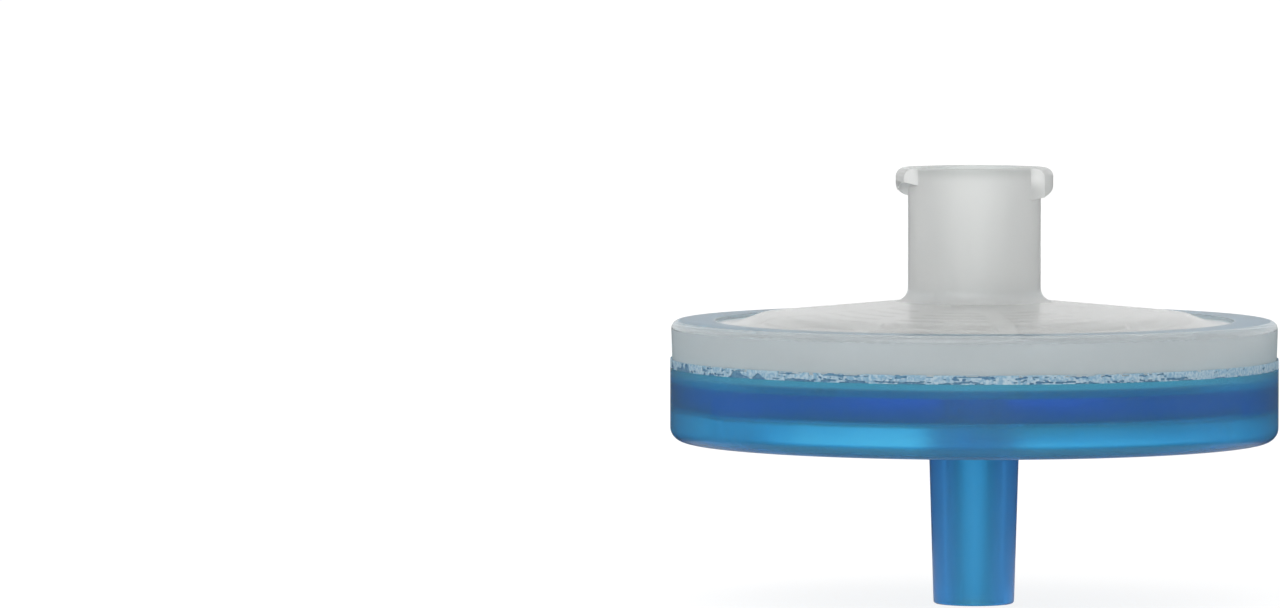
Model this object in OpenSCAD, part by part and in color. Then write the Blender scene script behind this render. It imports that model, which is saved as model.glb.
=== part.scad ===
// Syringe filter: two welded polypropylene half-shells with a membrane clamped between them.
// The axis is Z. The outlet tip ends at z = 0 and the inlet hub is on top.

/* [Rim] */
// Outer diameter of the outlet half
disc_d = 30; // [28.4:0.1:40]
// How far the inlet half's wall stands back from the outlet half's
rim_step = 0.05; // [0.02:0.01:0.15]
// Height of the outlet half's rim
outlet_rim_h = 3.65; // [3.2:0.05:6]
// Height of the inlet half's rim
inlet_rim_h = 2.3; // [2:0.05:4]
// Radius of the inlet half's top outer edge
top_edge_r = 0.4; // [0.2:0.05:1]
// Radius of the outlet half's bottom outer edge
bottom_edge_r = 0.7; // [0.2:0.05:1]
// Height of the weld bead round the seam
bead_h = 0.3; // [0.1:0.05:0.5]

/* [Inlet plate] */
// Step from the rim's top down to the annular floor inside it
floor_drop = 0.15; // [0.05:0.05:0.4]
// Width of the annular floor
floor_w = 1; // [0.4:0.1:2]
// Width of the slope from the floor up to the conical plate
shoulder_w = 1.2; // [0.6:0.1:2]
// Height of that slope
shoulder_h = 0.45; // [0.2:0.05:0.8]
// Rise of the conical plate from the slope to the hub
cone_rise = 0.7; // [0.2:0.05:1.5]
// Radius of the blend between plate and hub
hub_blend_r = 0.7; // [0.3:0.05:1]

/* [Inlet hub] */
// Outer diameter of the hub
hub_d = 6.54; // [6.2:0.02:6.7]
// Height of the hub above the conical plate
hub_h = 6.55; // [6:0.05:9]
// How much wider than the hub its core in the plate is, all round
core_w = 0.25; // [0.15:0.05:0.4]
// Width across the two lugs
lug_span = 7.76; // [7.6:0.02:7.83]
// Width of one lug
lug_w = 3.5; // [2.6:0.1:4]
// Height of a lug's outer face, at its middle
lug_h = 0.95; // [0.6:0.05:1.5]
// Radius of a lug's top outer edge
lug_edge_r = 0.45; // [0.2:0.05:0.6]
// Angle of a lug's underside, from level
lug_under_a = 13; // [10:1:40]
// How much is taken off the corner between a lug's underside and its outer face
lug_break = 0.08; // [0:0.01:0.15]
// Lead of the double thread that the lugs follow
thread_lead = 5; // [4.5:0.1:5.5]

/* [Luer fittings] */
// Taper of both fittings, as diameter lost per length
luer_taper = 0.06; // [0.05:0.01:0.07]
// Diameter of the socket at its mouth
socket_d = 4.3; // [4.27:0.01:4.32]
// Depth of the socket
socket_depth = 8; // [7.5:0.1:8.4]
// Height of the straight stretch at the socket's floor
socket_end_h = 0.5; // [0.3:0.1:1]
// Length of the spigot below the rim
spigot_len = 8.05; // [7.5:0.05:12]
// Diameter of the spigot at its tip
spigot_tip_d = 3.98; // [3.93:0.01:4.03]
// Diameter of the outlet bore at the tip
bore_tip_d = 1.9; // [1.2:0.1:2.4]
// Taper of the outlet bore, widening towards the membrane
bore_taper = 0.03; // [0.01:0.01:0.05]

/* [Inlet relief] */
// Clear height over the membrane
chamber_h = 0.85; // [0.5:0.05:1]
// Gap between the ribs and the membrane
rib_gap = 0.15; // [0.05:0.05:0.3]
// Width of a ring rib
rib_w = 0.45; // [0.3:0.05:0.6]
// Distance from one ring to the next
rib_pitch = 1; // [0.9:0.05:2]
// Radius of the innermost ring
first_rib_r = 4.1; // [3:0.1:5]
// Radius that the rings stay within
rings_r = 10.4; // [8:0.1:11]
// Number of radial channels through the rings
channels = 8; // [4:4:12]
// Width of each radial channel
channel_w = 0.85; // [0.4:0.05:1]
// Depth of the main channels, over the chamber, in line with the cross opening
main_h = 0.3; // [0.1:0.05:0.4]
// Reach of the main channels from the axis
main_reach = 11; // [6:0.1:11.4]
// Width of an arm of the cross opening
cross_w = 1; // [0.6:0.05:1.4]
// Reach of an arm of the cross opening
cross_reach = 1.75; // [1:0.05:1.8]
// Turn of the channels from the lugs
channel_turn = 10; // [0:1:45]

/* [Membrane and its seat] */
// Diameter of the membrane
membrane_d = 25.6; // [24:0.1:26]
// Thickness of the membrane
membrane_t = 0.15; // [0.1:0.01:0.25]
// Clearance round the membrane
membrane_gap = 0.05; // [0.02:0.01:0.1]
// Depth of the seat below the seam
seat_depth = 0.4; // [0.3:0.05:0.8]
// Width of the ring that clamps the membrane
clamp_w = 0.5; // [0.3:0.05:0.8]

/* [Outlet half] */
// Depth of the hollow underside
hollow_h = 1.7; // [0.8:0.05:2]
// Wall of the rim round the hollow underside
skirt_w = 2.1; // [1.2:0.1:3]
// Radius of the inner edges of the hollow
hollow_edge_r = 0.3; // [0.1:0.05:0.5]
// Radius of the blend at the spigot's root
root_blend_r = 0.5; // [0.2:0.05:0.8]
// Width of a groove of the support grid
groove_w = 0.5; // [0.3:0.05:0.6]
// Depth of the support grid's grooves
groove_h = 0.4; // [0.2:0.05:0.6]
// Diameter of the collecting dish under the membrane
dish_d = 4.4; // [3.4:0.1:5]

/* [Hidden] */
$fn = 96;
// overlap that makes cuts and joined shapes run through
over = 0.5;
// how far a rib's round end passes the rib's sides, so that the two cross
end_over = 0.01;
// size of the small broken edges of hub, socket and spigot
fine_r = 0.15;

disc_r = disc_d / 2;
inlet_r = disc_r - rim_step;
membrane_r = membrane_d / 2;
seat_r = membrane_r + membrane_gap;
clamp_out_r = membrane_r - membrane_gap;
chamber_r = clamp_out_r - clamp_w;
hub_r = hub_d / 2;
lug_r = lug_span / 2;
floor_in_r = membrane_r - floor_w;
shoulder_r = floor_in_r - shoulder_w;
hollow_r = disc_r - skirt_w;

// heights, from the spigot's tip up
base_z = spigot_len + hollow_h;
seam_z = spigot_len + outlet_rim_h;
seat_z = seam_z - seat_depth;
clamp_z = seat_z + membrane_t;
ceiling_z = clamp_z + chamber_h;
rim_z = seam_z + inlet_rim_h;
floor_z = rim_z - floor_drop;
shoulder_z = floor_z + shoulder_h;
cone_z = shoulder_z + cone_rise;
hub_z = cone_z + hub_h;
socket_z = hub_z - socket_depth;

cone_a = atan2(cone_rise, shoulder_r - hub_r);
thread_a = atan2(thread_lead, PI * lug_span);
spigot_root_d = spigot_tip_d + luer_taper * base_z;
dish_z = seat_z - groove_h;

function along(p, a, len) = [p.x + len * cos(a), p.y + len * sin(a)];

// The sliver between a corner and the circle that blends its two sides, which leave it at angles a and b.
// It is cut from an outer corner and added in an inner one. It reaches past the corner, to leave no skin.
module blend(corner, a, b, r) {
    half = abs(b - a) / 2;
    centre = along(corner, (a + b) / 2, r / sin(half));
    side = r / tan(half);
    difference() {
        polygon([along(corner, (a + b) / 2, -over), along(corner, a, side), centre, along(corner, b, side)]);
        translate(centre) circle(r);
    }
}

// One arc of a ring rib with round ends, between the channels on its two sides
module rib_arc(r, w, from_a, to_a) {
    reach = r + w;
    mid_a = (from_a + to_a) / 2;
    intersection() {
        difference() {
            circle(r + w / 2);
            circle(r - w / 2);
        }
        union() {
            polygon([[0, 0], along([0, 0], from_a, reach), along([0, 0], mid_a, 2 * reach),
                along([0, 0], to_a, reach)]);
            for (a = [from_a, to_a]) translate(along([0, 0], a, r)) circle(w / 2 + end_over, $fn = 24);
        }
    }
}

// Rings of ribs out to within_r, which stop at evenly spaced channels
module ring_ribs(first_r, within_r, w) {
    step = 360 / channels;
    for (r = [first_r : rib_pitch : within_r - w / 2]) {
        end_a = asin((channel_w + w) / 2 / r);
        for (k = [0 : channels - 1]) rib_arc(r, w, k * step + end_a, (k + 1) * step - end_a);
    }
}

// Half-section of the inlet half, without its socket
module inlet_profile() {
    difference() {
        polygon([[0, ceiling_z], [chamber_r, ceiling_z], [chamber_r, clamp_z], [clamp_out_r, clamp_z],
            [clamp_out_r, seam_z], [inlet_r, seam_z], [inlet_r, rim_z], [membrane_r, rim_z],
            [membrane_r, floor_z], [floor_in_r, floor_z], [shoulder_r, shoulder_z], [hub_r, cone_z],
            [hub_r, hub_z], [0, hub_z]]);
        blend([inlet_r, rim_z], 180, 270, top_edge_r);
        blend([hub_r, hub_z], 180, 270, fine_r);
    }
    blend([hub_r, cone_z], 90, -cone_a, hub_blend_r);
    translate([inlet_r - rim_step, seam_z]) square([2 * rim_step, bead_h]);
}

// One lug, on the +X side: its underside slopes up and out, and leans with the lead of the thread
module lug() {
    root_r = hub_r - fine_r;
    rise = (lug_r - root_r) * tan(lug_under_a);
    below = hub_z - lug_h - rise;
    difference() {
        intersection() {
            rotate_extrude() difference() {
                translate([root_r, below - lug_w]) square([lug_r - root_r, hub_z - below + lug_w]);
                blend([lug_r, hub_z], 180, 270, lug_edge_r);
            }
            translate([0, -lug_w / 2, below - lug_w]) cube([lug_r + over, lug_w, hub_z - below + lug_w]);
        }
        for (cut = [[lug_under_a, 0], [(90 + lug_under_a) / 2, lug_break]])
            translate([lug_r, 0, hub_z - lug_h]) rotate([thread_a, -cut[0], 0])
                translate([-lug_w, -lug_w, cut[1] - 2 * lug_w]) cube(2 * lug_w);
    }
}

// Female Luer socket: a straight end at its floor, the taper, and a broken edge at its mouth
module socket() {
    taper_h = socket_depth - socket_end_h;
    end_d = socket_d - luer_taper * taper_h;
    translate([0, 0, socket_z]) cylinder(h = socket_end_h, d = end_d);
    translate([0, 0, socket_z + socket_end_h]) cylinder(h = taper_h, d1 = end_d, d2 = socket_d);
    translate([0, 0, hub_z - fine_r]) cylinder(h = 2 * fine_r, d1 = socket_d, d2 = socket_d + 4 * fine_r);
}

// A slot from the axis out to a round end
module slot(reach, w, h) {
    translate([0, -w / 2, 0]) cube([reach - w / 2, w, h]);
    translate([reach - w / 2, 0, 0]) cylinder(h = h, d = w, $fn = 24);
}

// Cross opening from the socket's floor into the chamber, and the main channels that carry on from its arms
module inlet_star() {
    for (a = [0 : 720 / channels : 359]) rotate([0, 0, channel_turn + a]) translate([0, 0, ceiling_z - over]) {
        slot(cross_reach, cross_w, socket_z - ceiling_z + 2 * over);
        slot(main_reach, channel_w, main_h + over);
    }
}

// The inlet half in one: it is a single moulding, and its two nodes below are parts of it
module inlet_half() {
    difference() {
        union() {
            rotate_extrude() inlet_profile();
            for (a = [0, 180]) rotate([0, 0, a]) lug();
            translate([0, 0, clamp_z + rib_gap]) linear_extrude(chamber_h - rib_gap + over)
                rotate(channel_turn) ring_ribs(first_rib_r, rings_r, rib_w);
        }
        socket();
        inlet_star();
    }
}

// Everything above the plate, and a core that goes down through it
module hub_space() {
    blend_z = cone_z + hub_blend_r;
    translate([0, 0, ceiling_z - over]) cylinder(h = blend_z - ceiling_z + 2 * over, r = hub_r + core_w);
    translate([0, 0, blend_z]) cylinder(h = hub_h, r = disc_r);
}

module inlet_hub() color("whitesmoke", 0.7) intersection() {
    inlet_half();
    hub_space();
}

module inlet_housing() color("whitesmoke", 0.7) difference() {
    inlet_half();
    hub_space();
}

module membrane() color("white") translate([0, 0, seat_z]) cylinder(h = membrane_t, r = membrane_r);

// Half-section of the outlet half, without its bore
module outlet_profile() {
    root_r = spigot_root_d / 2;
    taper_a = 90 - atan(luer_taper / 2);
    difference() {
        polygon([[0, 0], [spigot_tip_d / 2, 0], [root_r, base_z], [hollow_r, base_z], [hollow_r, spigot_len],
            [disc_r, spigot_len], [disc_r, seam_z], [seat_r, seam_z], [seat_r, seat_z], [0, seat_z]]);
        blend([disc_r, spigot_len], 90, 180, bottom_edge_r);
        blend([hollow_r, spigot_len], 0, 90, hollow_edge_r);
        blend([spigot_tip_d / 2, 0], taper_a, 180, fine_r);
    }
    blend([hollow_r, base_z], 180, 270, hollow_edge_r);
    blend([root_r, base_z], 180 + taper_a, 360, root_blend_r);
}

// Support grid under the membrane: rings of ribs, with the grooves and channels between them cut out
module support_grid() {
    land_w = rib_pitch - groove_w;
    translate([0, 0, dish_z]) linear_extrude(groove_h + over) difference() {
        circle(chamber_r);
        rotate(channel_turn) ring_ribs((dish_d + land_w) / 2, chamber_r - groove_w, land_w);
    }
}

module outlet_housing() color("steelblue") {
    bore_top_d = bore_tip_d + bore_taper * dish_z;
    difference() {
        rotate_extrude() outlet_profile();
        support_grid();
        translate([0, 0, -over]) cylinder(h = dish_z + 2 * over, d1 = bore_tip_d - bore_taper * over,
            d2 = bore_top_d + bore_taper * over);
    }
}

inlet_hub();
inlet_housing();
membrane();
outlet_housing();
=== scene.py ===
import math

import bmesh
import bpy
from mathutils import Matrix, Vector, noise


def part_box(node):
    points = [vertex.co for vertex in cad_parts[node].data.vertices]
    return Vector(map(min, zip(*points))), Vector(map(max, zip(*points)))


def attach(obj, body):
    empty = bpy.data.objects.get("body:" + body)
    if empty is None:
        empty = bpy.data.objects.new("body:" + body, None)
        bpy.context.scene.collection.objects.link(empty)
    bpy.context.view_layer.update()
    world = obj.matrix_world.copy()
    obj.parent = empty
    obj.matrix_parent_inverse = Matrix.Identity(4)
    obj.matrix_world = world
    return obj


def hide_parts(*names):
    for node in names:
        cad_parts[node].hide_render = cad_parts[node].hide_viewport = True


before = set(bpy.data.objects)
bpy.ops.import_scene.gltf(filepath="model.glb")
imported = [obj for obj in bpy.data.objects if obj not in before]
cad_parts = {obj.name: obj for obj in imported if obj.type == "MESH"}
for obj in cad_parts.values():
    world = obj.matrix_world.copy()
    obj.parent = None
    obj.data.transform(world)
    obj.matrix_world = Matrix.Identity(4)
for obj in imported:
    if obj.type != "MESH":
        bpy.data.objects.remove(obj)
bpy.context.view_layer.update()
scene = bpy.context.scene
scene.view_settings.view_transform = "Standard"
mm = 0.001
sameSpot = 0.0005 * mm    # corners closer than this are merged
sameLevel = 0.001 * mm
print("frame loaded:", sorted(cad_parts))


def addNode(tree, kind, inputs=None, **settings):
    node = tree.nodes.new(kind)
    for name, value in settings.items():
        setattr(node, name, value)
    for socket, value in (inputs or {}).items():
        if isinstance(value, bpy.types.NodeSocket):
            tree.links.new(value, node.inputs[socket])
        else:
            node.inputs[socket].default_value = value
    return node


def srgb(code):
    parts = [int(code[i:i + 2], 16) / 255 for i in (1, 3, 5)]
    return [c / 12.92 if c <= 0.04045 else ((c + 0.055) / 1.055) ** 2.4 for c in parts] + [1]


def newMaterial(name):
    material = bpy.data.materials.new(name)
    material.use_nodes = True
    material.node_tree.nodes.clear()
    return material, material.node_tree


# camera: low and far, looking almost level across the disc, with the filter on the right of the frame
cameraPlace = {
    "distance": 450 * mm,   # from the filter's axis
    "height": 37.5 * mm,    # above the spigot's tip
    "lens": 256.7,          # mm
    "turn": 2.1,            # degrees to the left of the axis
    "tilt": 2.89,           # degrees down
    "sees": (0.01, 20),     # metres, from the nearest to the farthest
}


def placeCamera(place):
    data = bpy.data.cameras.new("camera")
    data.lens = place["lens"]
    data.clip_start, data.clip_end = place["sees"]
    camera = bpy.data.objects.new("camera", data)
    scene.collection.objects.link(camera)
    camera.matrix_world = (
        Matrix.Translation((0, -place["distance"], place["height"]))
        @ Matrix.Rotation(math.radians(place["turn"]), 4, "Z")
        @ Matrix.Rotation(math.radians(90 - place["tilt"]), 4, "X")
    )
    scene.camera = camera


placeCamera(cameraPlace)
print("camera placed")

# studio: a white table, four white screens round it, and grey room between them
studio = {
    "white": "#FFFFFF",
    "roomLevel": 0.96,          # soft light from all round
    "sideScreens": 0.4,         # white of the screens at the sides
    "greyThrough": 0.2,         # what is seen between the screens through clear plastic
    "greyInGloss": 0.05,        # and what is mirrored in gloss there
    "whiteInGloss": 0.3,        # how white the screens are in gloss
    "screenHalf": 9,            # degrees that a screen reaches to each side of its middle
    "screenFade": 10,           # degrees over which it fades out
    "lampPower": 1.2,           # watts
    "lampSize": 500 * mm,
    "lampPlace": (-120 * mm, -420 * mm, 420 * mm),
    "tableSize": 6.0,           # metres
    "tableColour": "#E7E7E7",   # as it lights the filter from below
    "tableLit": 0.75,           # how white the light makes it, where no shade falls
    "tableShade": 0.2,          # how much of the table's white comes from light that the filter can shade
    "glassShade": 0.3,          # the same for what glass and gloss show of the table
    "nearReach": 28 * mm,       # within this radius the table is this white from every side
    "nearLevel": 0.6,
}


# what the eye sees there: straight, through clear plastic, and also in gloss; light that milk or a matt face
# has scattered on its way is plain room light instead
def seenByEye(tree):
    path = addNode(tree, "ShaderNodeLightPath").outputs
    clean = addNode(tree, "ShaderNodeMath", {
        0: path["Glossy Depth"], 1: path["Transmission Depth"]}, operation="ADD")
    scattered = addNode(tree, "ShaderNodeMath", {0: path["Ray Depth"], 1: clean.outputs[0]}, operation="SUBTRACT")
    clear = addNode(tree, "ShaderNodeMath", {0: scattered.outputs[0], 1: 0.5}, operation="LESS_THAN")    # not once
    through, gloss = [
        addNode(tree, "ShaderNodeMath", {0: clear.outputs[0], 1: path[kind]}, operation="MULTIPLY").outputs[0]
        for kind in ("Is Transmission Ray", "Is Glossy Ray")]
    glass = addNode(tree, "ShaderNodeMath", {0: through, 1: gloss}, operation="MAXIMUM")
    return path["Is Camera Ray"], through, glass.outputs[0]


# how white the room looks along a direction: the screens before and behind, those at the sides, grey between
def screensAlong(tree, direction, room, through):
    axes = addNode(tree, "ShaderNodeSeparateXYZ", {0: direction}).outputs[:2]
    squares = [addNode(tree, "ShaderNodeMath", {0: axis, 1: axis}, operation="MULTIPLY").outputs[0] for axis in axes]
    total = addNode(tree, "ShaderNodeMath", {0: squares[0], 1: squares[1]}, operation="ADD")
    total = addNode(tree, "ShaderNodeMath", {0: total.outputs[0], 1: 1e-9}, operation="MAXIMUM").outputs[0]    # never 0
    grey = addNode(tree, "ShaderNodeMapRange", {
        "Value": through, "To Min": room["greyInGloss"], "To Max": room["greyThrough"]}).outputs[0]
    white = addNode(tree, "ShaderNodeMapRange", {
        "Value": through, "To Min": room["whiteInGloss"], "To Max": 1.0}).outputs[0]
    wide, narrow = [math.cos(math.radians(angle)) ** 2 for angle in
                    (room["screenHalf"] + room["screenFade"], room["screenHalf"])]
    levels = []
    for square, brightness in zip(squares, (room["sideScreens"], 1.0)):
        part = addNode(tree, "ShaderNodeMath", {0: square, 1: total}, operation="DIVIDE")
        screen = addNode(tree, "ShaderNodeMath", {0: white, 1: brightness}, operation="MULTIPLY")
        levels.append(addNode(tree, "ShaderNodeMapRange", {
            "Value": part.outputs[0], "From Min": wide, "From Max": narrow,
            "To Min": grey, "To Max": screen.outputs[0]}, interpolation_type="SMOOTHSTEP").outputs[0])
    level = addNode(tree, "ShaderNodeMath", {0: levels[0], 1: levels[1]}, operation="MAXIMUM")
    reach = addNode(tree, "ShaderNodeMath", {0: total}, operation="SQRT")
    return level.outputs[0], reach.outputs[0]


def lightRoom(room):
    world = bpy.data.worlds.new("screenedRoom")
    world.use_nodes = True
    tree = world.node_tree
    tree.nodes.clear()
    camera, through, glass = seenByEye(tree)
    direction = addNode(tree, "ShaderNodeTexCoord").outputs["Generated"]
    screens = screensAlong(tree, direction, room, through)[0]
    soft, seen, plain = [
        addNode(tree, "ShaderNodeBackground", {"Strength": level, "Color": srgb(room["white"])}).outputs[0]
        for level in (room["roomLevel"], screens, 1.0)]
    inGlass = addNode(tree, "ShaderNodeMixShader", {0: glass, 1: soft, 2: seen})
    either = addNode(tree, "ShaderNodeMixShader", {0: camera, 1: inGlass.outputs[0], 2: plain})
    addNode(tree, "ShaderNodeOutputWorld", {"Surface": either.outputs[0]})
    scene.world = world

    lampData = bpy.data.lights.new("frontLamp", "AREA")
    lampData.shape = "DISK"
    lampData.size = room["lampSize"]
    lampData.energy = room["lampPower"]
    lamp = bpy.data.objects.new("frontLamp", lampData)
    scene.collection.objects.link(lamp)
    lamp.location = room["lampPlace"]
    lamp.rotation_euler = (Vector((0, 0, 0)) - lamp.location).to_track_quat("-Z", "Y").to_euler()


def layTable(room):
    bm = bmesh.new()
    bmesh.ops.create_grid(bm, x_segments=1, y_segments=1, size=room["tableSize"] / 2)
    mesh = bpy.data.meshes.new("table")
    bm.to_mesh(mesh)
    bm.free()
    table = bpy.data.objects.new("table", mesh)
    scene.collection.objects.link(table)
    material, tree = newMaterial("whiteTable")
    camera, through, glass = seenByEye(tree)
    place = addNode(tree, "ShaderNodeTexCoord").outputs["Object"]
    screens, reach = screensAlong(tree, place, room, through)
    near = addNode(tree, "ShaderNodeMath", {0: reach, 1: room["nearReach"]}, operation="LESS_THAN")
    near = addNode(tree, "ShaderNodeMath", {0: near.outputs[0], 1: room["nearLevel"]}, operation="MULTIPLY")
    level = addNode(tree, "ShaderNodeMath", {0: screens, 1: near.outputs[0]}, operation="MAXIMUM").outputs[0]
    plain = addNode(tree, "ShaderNodeBsdfDiffuse", {"Color": srgb(room["tableColour"])})
    seen = []
    for share, white in ((room["tableShade"], 1.0), (room["glassShade"], level)):
        lit = addNode(tree, "ShaderNodeMix", {0: white, 6: (0, 0, 0, 1), 7: [share] * 3 + [1]}, data_type="RGBA")
        shaded = addNode(tree, "ShaderNodeBsdfDiffuse", {"Color": lit.outputs[2]})
        glowLevel = addNode(tree, "ShaderNodeMath", {0: white, 1: 1 - room["tableLit"] * share}, operation="MULTIPLY")
        glow = addNode(tree, "ShaderNodeEmission", {"Strength": glowLevel.outputs[0]})
        seen.append(addNode(tree, "ShaderNodeAddShader", {0: shaded.outputs[0], 1: glow.outputs[0]}).outputs[0])
    inGlass = addNode(tree, "ShaderNodeMixShader", {0: glass, 1: plain.outputs[0], 2: seen[1]})
    either = addNode(tree, "ShaderNodeMixShader", {0: camera, 1: inGlass.outputs[0], 2: seen[0]})
    under = addNode(tree, "ShaderNodeBsdfTransparent")    # from below, the table is clear
    back = addNode(tree, "ShaderNodeNewGeometry").outputs["Backfacing"]
    side = addNode(tree, "ShaderNodeMixShader", {0: back, 1: either.outputs[0], 2: under.outputs[0]})
    addNode(tree, "ShaderNodeOutputMaterial", {"Surface": side.outputs[0]})
    mesh.materials.append(material)


layTable(studio)
lightRoom(studio)
scene.cycles.volume_bounces = 32     # milky plastic scatters light many times
scene.cycles.transmission_bounces = 24
scene.cycles.max_bounces = 40
print("studio lit")


# how much of a tint a place takes: it fades in over a range of radius, of height, or of both
def zoneShare(tree, place, radius=None, height=None):
    fades = []
    if radius:
        flat = addNode(tree, "ShaderNodeVectorMath", {0: place, 1: (1, 1, 0)}, operation="MULTIPLY")
        reach = addNode(tree, "ShaderNodeVectorMath", {0: flat.outputs[0]}, operation="LENGTH")
        fades.append((reach.outputs["Value"], radius))
    if height:
        fades.append((addNode(tree, "ShaderNodeSeparateXYZ", {0: place}).outputs[2], height))
    share = 1.0
    for value, (start, end) in fades:
        fade = addNode(tree, "ShaderNodeMapRange", {
            "Value": value, "From Min": start, "From Max": end}, interpolation_type="SMOOTHSTEP")
        share = addNode(tree, "ShaderNodeMath", {0: fade.outputs[0], 1: share}, operation="MULTIPLY").outputs[0]
    return share


# a moulding's colour drifts in soft clouds, and its face has the matt grain of the mould
def mouldedFace(tree, place, look):
    clouds = addNode(tree, "ShaderNodeTexNoise", {"Vector": place, "Scale": 1 / look["cloudSize"], "Detail": 3.0})
    tint = addNode(tree, "ShaderNodeMix", {
        0: clouds.outputs[0], 6: srgb(look["dense"]), 7: srgb(look["thin"])}, data_type="RGBA")
    grain = addNode(tree, "ShaderNodeTexNoise", {"Vector": place, "Scale": 1 / look["grainSize"], "Detail": 2.0})
    bump = addNode(tree, "ShaderNodeBump", {
        "Height": grain.outputs[0], "Strength": look["grainStrength"], "Distance": look["grainDepth"]})
    return tint.outputs[2], bump.outputs[0]


natural = {
    "dense": "#F5F6F5",
    "thin": "#F9FAF9",
    "cloudSize": 4 * mm,
    "grainSize": 0.25 * mm,                  # drawn coarser than the mould's real grain, so that it shows
    "grainDepth": 0.01 * mm,
    "grainStrength": 0.25,
    "paintedBlueGlowTint": "#F0FAFE",                   # painted light: the blue half's glow, painted into the wall
    "paintedBlueGlowRadius": (14.2 * mm, 14.8 * mm),
    # the rim's painted bluish shade fades in over these
    "paintedRimShadeRadius": (12.6 * mm, 13.0 * mm),
    "paintedRimShadeHeight": (13.45 * mm, 13.85 * mm),
    "paintedMouthShade": "#E2E5E3",                  # painted shade: the socket's top edge drawn darker
    "paintedMouthShadeRadius": (3.5 * mm, 3.2 * mm),
    "paintedMouthShadeHeight": (20.9 * mm, 21.5 * mm),
    "refraction": 1.49,                      # of polypropylene
    "milk": "#FEFFFF",
    "milkDensity": 50.0,
    "milkForward": 0.4,                      # how far the milk throws light onwards
}
naturalFinishes = {    # three finishes of the one plastic, each with its own painted bluish shade on the rim
    "matt": {"roughness": 0.38, "seeThrough": 0.74, "paintedRimShade": "#E7F0F5"},     # hub and wall
    "satin": {"roughness": 0.24, "seeThrough": 0.79, "paintedRimShade": "#E7F0F5"},    # cone: the relief shows through it
    "clear": {"roughness": 0.33, "seeThrough": 0.85, "paintedRimShade": "#84AAC4"},    # rim: clearer, with a deeper painted bluish shade standing in for the blue half showing through it
}


# natural polypropylene, injection moulded: milky and waxy, lets light and the colour behind it through; a blue glow in
# the wall, a bluish shade on the rim and shade at the socket's mouth are painted into its colour
def makeNaturalPlastic(name, look, finish):
    material, tree = newMaterial(name)
    place = addNode(tree, "ShaderNodeTexCoord").outputs["Object"]
    tint, grain = mouldedFace(tree, place, look)
    wall = zoneShare(tree, place, radius=look["paintedBlueGlowRadius"])
    rim = zoneShare(tree, place, look["paintedRimShadeRadius"], look["paintedRimShadeHeight"])
    mouth = zoneShare(tree, place, look["paintedMouthShadeRadius"], look["paintedMouthShadeHeight"])
    # painted light and shade, laid over the moulding's own tint
    for share, code in ((wall, look["paintedBlueGlowTint"]), (rim, finish["paintedRimShade"]), (mouth, look["paintedMouthShade"])):
        tint = addNode(tree, "ShaderNodeMix", {0: share, 6: tint, 7: srgb(code)}, data_type="RGBA").outputs[2]
    surface = addNode(tree, "ShaderNodeBsdfPrincipled", {
        "Base Color": tint, "Roughness": finish["roughness"], "IOR": look["refraction"],
        "Transmission Weight": finish["seeThrough"], "Normal": grain})
    milk = addNode(tree, "ShaderNodeVolumeScatter", {
        "Color": srgb(look["milk"]), "Density": look["milkDensity"], "Anisotropy": look["milkForward"]})
    addNode(tree, "ShaderNodeOutputMaterial", {"Surface": surface.outputs[0], "Volume": milk.outputs[0]})
    return material


blue = {
    "dense": "#6FDDFA",
    "thin": "#84E8FD",
    "cloudSize": 3 * mm,
    "grainSize": 0.25 * mm,                  # drawn coarser than the mould's real grain, so that it shows
    "grainDepth": 0.01 * mm,
    "grainStrength": 0.2,
    "paintedMembraneLight": "#A6FDFF",                   # painted light: paler where the white membrane shines through
    "paintedMembraneLightHeight": (11.2 * mm, 11.45 * mm),
    # painted shade: the spigot drawn darker than the disc
    "paintedSpigotShade": "#65B8F0",
    "spigotHeight": (8.6 * mm, 7.8 * mm),
    "paintedBoreLight": "#B5FFF2",                   # painted light: paler over the bore, where the wall is thinner
    "paintedBoreLightRadius": (1.75 * mm, 1.45 * mm),
    "roughness": 0.25,
    "spigotRoughness": 0.3,
    "refraction": 1.49,                      # of polypropylene
    "gloss": 0.3,
    "seeThrough": 0.9,
    "dye": "#50DBF8",
    "dyeDensity": 400.0,
}


# blue polypropylene, injection moulded: dyed through, so it darkens with depth
def makeBluePlastic(look):
    material, tree = newMaterial("mouldedBluePolypropylene")
    place = addNode(tree, "ShaderNodeTexCoord").outputs["Object"]
    tint, grain = mouldedFace(tree, place, look)
    # painted light near the weld and over the bore, painted shade on the spigot
    weld = zoneShare(tree, place, height=look["paintedMembraneLightHeight"])
    spigot = zoneShare(tree, place, height=look["spigotHeight"])
    bore = zoneShare(tree, place, radius=look["paintedBoreLightRadius"])
    paintedSpigotShadeAndBoreLight = addNode(tree, "ShaderNodeMix", {
        0: bore, 6: srgb(look["paintedSpigotShade"]), 7: srgb(look["paintedBoreLight"])}, data_type="RGBA").outputs[2]
    for share, colour in ((weld, srgb(look["paintedMembraneLight"])), (spigot, paintedSpigotShadeAndBoreLight)):
        tint = addNode(tree, "ShaderNodeMix", {0: share, 6: tint, 7: colour}, data_type="RGBA").outputs[2]
    matt = addNode(tree, "ShaderNodeMapRange", {
        "Value": spigot, "To Min": look["roughness"], "To Max": look["spigotRoughness"]})
    surface = addNode(tree, "ShaderNodeBsdfPrincipled", {
        "Base Color": tint, "Roughness": matt.outputs[0], "IOR": look["refraction"],
        "Specular IOR Level": look["gloss"], "Transmission Weight": look["seeThrough"], "Normal": grain})
    depth = addNode(tree, "ShaderNodeVolumeAbsorption", {"Color": srgb(look["dye"]), "Density": look["dyeDensity"]})
    addNode(tree, "ShaderNodeOutputMaterial", {"Surface": surface.outputs[0], "Volume": depth.outputs[0]})
    return material


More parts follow.
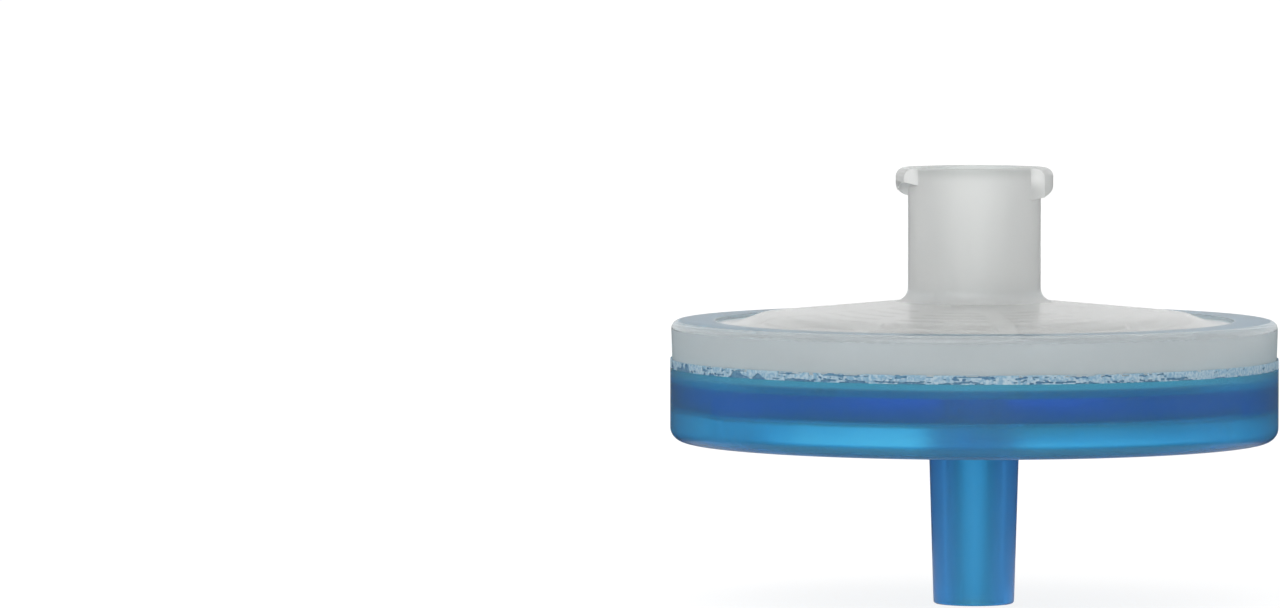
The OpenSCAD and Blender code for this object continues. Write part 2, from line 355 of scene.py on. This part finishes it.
torn = {
    "streakSize": 0.14 * mm,
    "streakRange": (0.33, 0.67),    # the narrower, the harder the streaks' edges
    "roughness": 0.4,
    "refraction": 1.49,             # of polypropylene
    "seeThrough": 0.35,
}
tornTintsWithPaintedShade = {
    # painted shade: bluish and darker than the plastic, for the blue and the shade behind the thin flash
    "natural": {"dense": "#86B5D0", "thin": "#C5DBE7"},
    # painted shade: the lip drawn dark where it shows through the tears
    "blue": {"dense": "#5081AA", "thin": "#6CA2BF"},
}


# polypropylene squeezed out of the weld: stretched and torn, so it is duller and more opaque than the moulding; its
# tints are painted shade, darker and bluer, in streaks of darker and lighter tone
def makeTornPlastic(name, look, tints):
    material, tree = newMaterial(name)
    place = addNode(tree, "ShaderNodeTexCoord").outputs["Object"]
    streaks = addNode(tree, "ShaderNodeTexNoise", {"Vector": place, "Scale": 1 / look["streakSize"], "Detail": 2.0})
    start, end = look["streakRange"]
    share = addNode(tree, "ShaderNodeMapRange", {
        "Value": streaks.outputs[0], "From Min": start, "From Max": end}, interpolation_type="SMOOTHSTEP")
    tint = addNode(tree, "ShaderNodeMix", {
        0: share.outputs[0], 6: srgb(tints["dense"]), 7: srgb(tints["thin"])}, data_type="RGBA")
    surface = addNode(tree, "ShaderNodeBsdfPrincipled", {
        "Base Color": tint.outputs[2], "Roughness": look["roughness"], "IOR": look["refraction"],
        "Transmission Weight": look["seeThrough"]})
    addNode(tree, "ShaderNodeOutputMaterial", {"Surface": surface.outputs[0]})
    return material


membraneLook = {
    "shaded": "#F3F5F5",
    "lit": "#FBFCFB",
    "poreSize": 0.3 * mm,    # real pores are far too fine to show, so they are drawn this coarse
    "roughness": 0.85,
    "gloss": 0.2,
}


# cast filter membrane: fine pores, which look plain matt white
def makeMembraneMaterial(look):
    material, tree = newMaterial("castFilterMembrane")
    place = addNode(tree, "ShaderNodeTexCoord").outputs["Object"]
    pores = addNode(tree, "ShaderNodeTexNoise", {"Vector": place, "Scale": 1 / look["poreSize"], "Detail": 3.0})
    tint = addNode(tree, "ShaderNodeMix", {
        0: pores.outputs[0], 6: srgb(look["shaded"]), 7: srgb(look["lit"])}, data_type="RGBA")
    surface = addNode(tree, "ShaderNodeBsdfPrincipled", {
        "Base Color": tint.outputs[2], "Roughness": look["roughness"], "Specular IOR Level": look["gloss"]})
    addNode(tree, "ShaderNodeOutputMaterial", {"Surface": surface.outputs[0]})
    return material


# fused seam: the two halves are one piece there, so nothing is seen of the faces that met
def makeFusedFace():
    material, tree = newMaterial("fusedSeam")
    clear = addNode(tree, "ShaderNodeBsdfTransparent")
    addNode(tree, "ShaderNodeOutputMaterial", {"Surface": clear.outputs[0]})
    return material


naturalPlastic = makeNaturalPlastic("mouldedNaturalPolypropylene", natural, naturalFinishes["matt"])
satinNatural = makeNaturalPlastic("satinNaturalPolypropylene", natural, naturalFinishes["satin"])
clearNatural = makeNaturalPlastic("clearNaturalPolypropylene", natural, naturalFinishes["clear"])
bluePlastic = makeBluePlastic(blue)
tornNatural = makeTornPlastic("weldTornNaturalPolypropylene", torn, tornTintsWithPaintedShade["natural"])
tornBlue = makeTornPlastic("weldTornBluePolypropylene", torn, tornTintsWithPaintedShade["blue"])
membraneWhite = makeMembraneMaterial(membraneLook)
fusedFace = makeFusedFace()
print("materials made")


def finishPiece(bm, name, materials, slot, *replaced):
    mesh = bpy.data.meshes.new(name)
    bm.to_mesh(mesh)
    bm.free()
    for material in materials:
        mesh.materials.append(material)
    piece = bpy.data.objects.new(name, mesh)
    scene.collection.objects.link(piece)
    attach(piece, "root")
    if replaced:
        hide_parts(*replaced)
    print(name, len(mesh.polygons), "faces")


def shade(bm, sharpAngle):
    for face in bm.faces:
        face.smooth = True
    for edge in bm.edges:
        edge.smooth = edge.is_manifold and edge.calc_face_angle(0) < math.radians(sharpAngle)


# the two halves, where they meet and how they are finished there
halves = {
    "sharpAngle": 28,             # degrees
    "coreBelow": 0.1 * mm,        # the core's corners lie this much below the plate's top
    "coreSlack": 0.005 * mm,      # and this close to its radius
    "seamLevel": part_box("outlet_housing")[1].z,
    "seamInner": 12.7 * mm,       # radius from which they are fused
    "seamGap": 0.004 * mm,
    "upward": 0.05,               # a face that leans up this much belongs to the top
    "coneStart": 0.6 * mm,        # beyond the hub's core
    "rimStart": 12.6 * mm,        # radius at which the clearer rim starts
    "rimEnd": 14.62 * mm,
    "rimLevel": 13.6 * mm,        # height from which the top has its own finishes
    "beadRadius": 14.9 * mm,      # of the bead's wall, which stands behind the ragged flash
    "beadTop": 0.35 * mm,         # above the seam
}
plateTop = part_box("inlet_housing")[1].z
coreRadius = max(vert.co.xy.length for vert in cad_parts["inlet_hub"].data.vertices
                 if vert.co.z < plateTop - halves["coreBelow"])


def shellFrom(*nodes):
    bm = bmesh.new()
    for node in nodes:
        bm.from_mesh(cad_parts[node].data)
    bmesh.ops.remove_doubles(bm, verts=bm.verts, dist=sameSpot)
    return bm


# the hub and the plate are one moulding, so the faces between them go
def joinCore(bm):
    inner = [face for face in bm.faces if abs(face.normal.z) < 0.01
             and all(abs(vert.co.xy.length - coreRadius) < halves["coreSlack"] for vert in face.verts)]
    bmesh.ops.delete(bm, geom=inner, context="FACES")


# the bead's wall goes in, to make room for the flash
def seatFlash(bm):
    for vert in bm.verts:
        rise = vert.co.z - halves["seamLevel"]
        if -sameLevel < rise < halves["beadTop"] and vert.co.xy.length > halves["beadRadius"]:
            vert.co.xy *= halves["beadRadius"] / vert.co.xy.length


# faces of the two halves that met in the weld: marked, and held a hair apart
def fuseFaces(bm, away):
    for face in bm.faces:
        middle = face.calc_center_median()
        level = abs(middle.z - halves["seamLevel"]) < sameLevel and abs(face.normal.z) > 0.99
        face.material_index = int(level and middle.xy.length > halves["seamInner"])
    ring = {vert for face in bm.faces if face.material_index == 1 for vert in face.verts}
    bmesh.ops.translate(bm, vec=(0, 0, away), verts=list(ring))


# the cone takes the third of the materials, and the rim the fourth
def finishTop(bm):
    for face in bm.faces:
        middle = face.calc_center_median()
        reach = middle.xy.length
        if (face.normal.z > halves["upward"] and middle.z > halves["rimLevel"]
                and reach > coreRadius + halves["coneStart"]):
            face.material_index = 2 + int(halves["rimStart"] < reach < halves["rimEnd"])


inletBm = shellFrom("inlet_hub", "inlet_housing")
joinCore(inletBm)
seatFlash(inletBm)
fuseFaces(inletBm, halves["seamGap"])
finishTop(inletBm)
shade(inletBm, halves["sharpAngle"])
finishPiece(inletBm, "inletShell", [naturalPlastic, fusedFace, satinNatural, clearNatural],
            "natural_polypropylene", "inlet_hub", "inlet_housing")

outletBm = shellFrom("outlet_housing")
fuseFaces(outletBm, -halves["seamGap"])
shade(outletBm, halves["sharpAngle"])
finishPiece(outletBm, "outletShell", [bluePlastic, fusedFace], "blue_polypropylene", "outlet_housing")

membraneShape = {
    "segments": 192,
    "clampInner": 12.25 * mm,
    "clampOuter": 12.75 * mm,
    "pressed": 0.006 * mm,   # how far the clamped rim goes into the plastic on each side
    "dip": 0.03 * mm,        # over which it goes down to that
    "curlUp": 0.34 * mm,     # height of the crimped edge, which turns up round the clamping ring
    "curlOut": 0.03 * mm,
    "curlIn": 0.02 * mm,
    "sharpAngle": 40,        # degrees
}


# membrane: lies flat, with its rim pressed into both halves
def makeMembrane(shape):
    lowest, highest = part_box("membrane")
    low, high, radius = lowest.z, highest.z, highest.x
    inner, dipped = shape["clampInner"], shape["clampInner"] + shape["dip"]
    outside, top = radius + shape["curlOut"], low + shape["curlUp"]
    profile = [(0, low), (inner, low), (dipped, low - shape["pressed"]), (radius, low - shape["pressed"]),
               (outside, low + shape["curlUp"] / 2), (outside, top), (radius - shape["curlIn"], top),
               (shape["clampOuter"], high + shape["pressed"]), (dipped, high + shape["pressed"]), (inner, high),
               (0, high)]
    bm = bmesh.new()
    verts = [bm.verts.new((r, 0, z)) for r, z in profile]
    edges = [bm.edges.new(pair) for pair in zip(verts, verts[1:])]
    bmesh.ops.spin(bm, geom=verts + edges, cent=(0, 0, 0), axis=(0, 0, 1), angle=math.tau,
                   steps=shape["segments"], use_merge=True)
    bmesh.ops.remove_doubles(bm, verts=bm.verts, dist=sameSpot)
    bmesh.ops.recalc_face_normals(bm, faces=bm.faces)
    shade(bm, shape["sharpAngle"])
    finishPiece(bm, "filterMembrane", [membraneWhite], "filter_membrane", "membrane")


makeMembrane(membraneShape)

# weld flash: natural plastic squeezed out over a lip of blue, all round the seam
flash = {
    "steps": 3000,               # round the disc
    "rows": 12,
    "outerRadius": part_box("outlet_housing")[1].y,    # where the rim, which has flat facets, reaches least far
    "low": halves["seamLevel"] - 0.01 * mm,
    "high": halves["seamLevel"] + 0.44 * mm,
    "smoothings": 2,             # of the torn edges
    "sharpAngle": 40,            # degrees
}
lip = {                          # of blue; heights here and below are shares of the band's height
    "inset": 0.04 * mm,
    "thickness": 0.045 * mm,
    "top": 0.84,
    "wander": 0.2,               # of its edge, up and down
    "wanderPerMm": 0.8,
    "fray": 0.15,
    "frayPerMm": 3,
}
skin = {                         # of natural plastic, over the lip
    "thickness": 0.03 * mm,
    "foot": 0.03,                # height of its lower edge
    "footWave": 0.12,
    "teeth": 1.5,                # how far the teeth on the left reach up into it
    "teethShift": 0.05,
    "teethPerMm": 1.1,
    "nicks": 0.5,
    "nicksPerMm": 3.2,
    "patchesPerMm": 1.3,         # round the disc
    "patchesUpPerMm": 6,         # and up the band
    "scratches": 0.9,
    "scratchesPerMm": 4,
    "scratchesUpPerMm": 12,
    "hold": 0.4,                 # the higher, the fewer tears: in front, more on the left, and more on the right
    "holdLeft": 0.3,
    "holdRight": 0.5,
    "lines": (0.8, 0.2),         # heights of the two scribbled lines in front
    "lineTears": 0.4,
    "lineSharpness": 7,
}


# noise that closes on itself round the disc; each seed gives a pattern of its own
def raggedNoise(seed, angle, perMm, level=0, upPerMm=0):
    reach = flash["outerRadius"] * perMm / mm
    rise = level * (flash["high"] - flash["low"]) * upPerMm / mm
    return noise.noise(Vector((math.cos(angle) * reach, math.sin(angle) * reach, rise + seed)))


# a thin band round the seam, less the faces that keep() turns down
def makeBand(radius, thickness, keep):
    bm = bmesh.new()
    low, high = flash["low"], flash["high"]
    bmesh.ops.create_grid(bm, x_segments=flash["steps"], y_segments=flash["rows"], size=0.5)
    for vert in bm.verts:
        turn = vert.co.x * math.tau
        vert.co = (radius * math.cos(turn), radius * math.sin(turn), low + (high - low) * (vert.co.y + 0.5))
    bmesh.ops.remove_doubles(bm, verts=bm.verts, dist=sameSpot)
    doomed = []
    for face in bm.faces:
        middle = face.calc_center_median()
        if not keep(math.atan2(middle.y, middle.x), (middle.z - low) / (high - low)):
            doomed.append(face)
    bmesh.ops.delete(bm, geom=doomed, context="FACES")
    bmesh.ops.delete(bm, geom=[vert for vert in bm.verts if not vert.link_faces], context="VERTS")
    edge = [vert for vert in bm.verts if vert.is_boundary and vert.co.z > low + sameLevel]
    for _ in range(flash["smoothings"]):
        bmesh.ops.smooth_vert(bm, verts=edge, factor=0.5, use_axis_x=True, use_axis_y=True, use_axis_z=True)
    bm.normal_update()
    bmesh.ops.solidify(bm, geom=bm.faces[:], thickness=thickness)    # inwards
    for vert in bm.verts:
        vert.co.xy *= min(1.0, radius / vert.co.xy.length)    # nothing stands proud of the rim
    bmesh.ops.recalc_face_normals(bm, faces=bm.faces)
    shade(bm, flash["sharpAngle"])
    return bm


# the blue lip: an uneven edge a little below the top of the natural skin; its dark tint is painted shade in the skin's
# tears
def keepLip(angle, level):
    return level < (lip["top"] + lip["wander"] * raggedNoise(5, angle, lip["wanderPerMm"])
                    + lip["fray"] * raggedNoise(8, angle, lip["frayPerMm"]))


# the natural skin: hanging teeth on one side, scribbled and torn in front, a smooth lip on the other side
def keepSkin(angle, level):
    left, right = max(0.0, -math.cos(angle)) ** 2, max(0.0, math.cos(angle)) ** 2
    teeth = raggedNoise(3, angle, skin["teethPerMm"]) + skin["nicks"] * raggedNoise(9, angle, skin["nicksPerMm"])
    foot = (skin["foot"] + skin["teeth"] * left * max(0.0, teeth + skin["teethShift"])
            + skin["footWave"] * teeth)
    tears = (raggedNoise(21, angle, skin["patchesPerMm"], level, skin["patchesUpPerMm"]) + skin["scratches"]
             * raggedNoise(33, angle, skin["scratchesPerMm"], level, skin["scratchesUpPerMm"]))
    line = sum(max(0.0, 1 - abs(level - height) * skin["lineSharpness"]) for height in skin["lines"])
    hold = (skin["hold"] + skin["holdRight"] * right + skin["holdLeft"] * left
            - skin["lineTears"] * line * (1 - right))
    return level > foot and tears < hold


finishPiece(makeBand(flash["outerRadius"] - lip["inset"], lip["thickness"], keepLip),
            "blueWeldLip", [tornBlue], "blue_polypropylene")
finishPiece(makeBand(flash["outerRadius"], skin["thickness"], keepSkin),
            "naturalWeldFlash", [tornNatural], "natural_polypropylene")
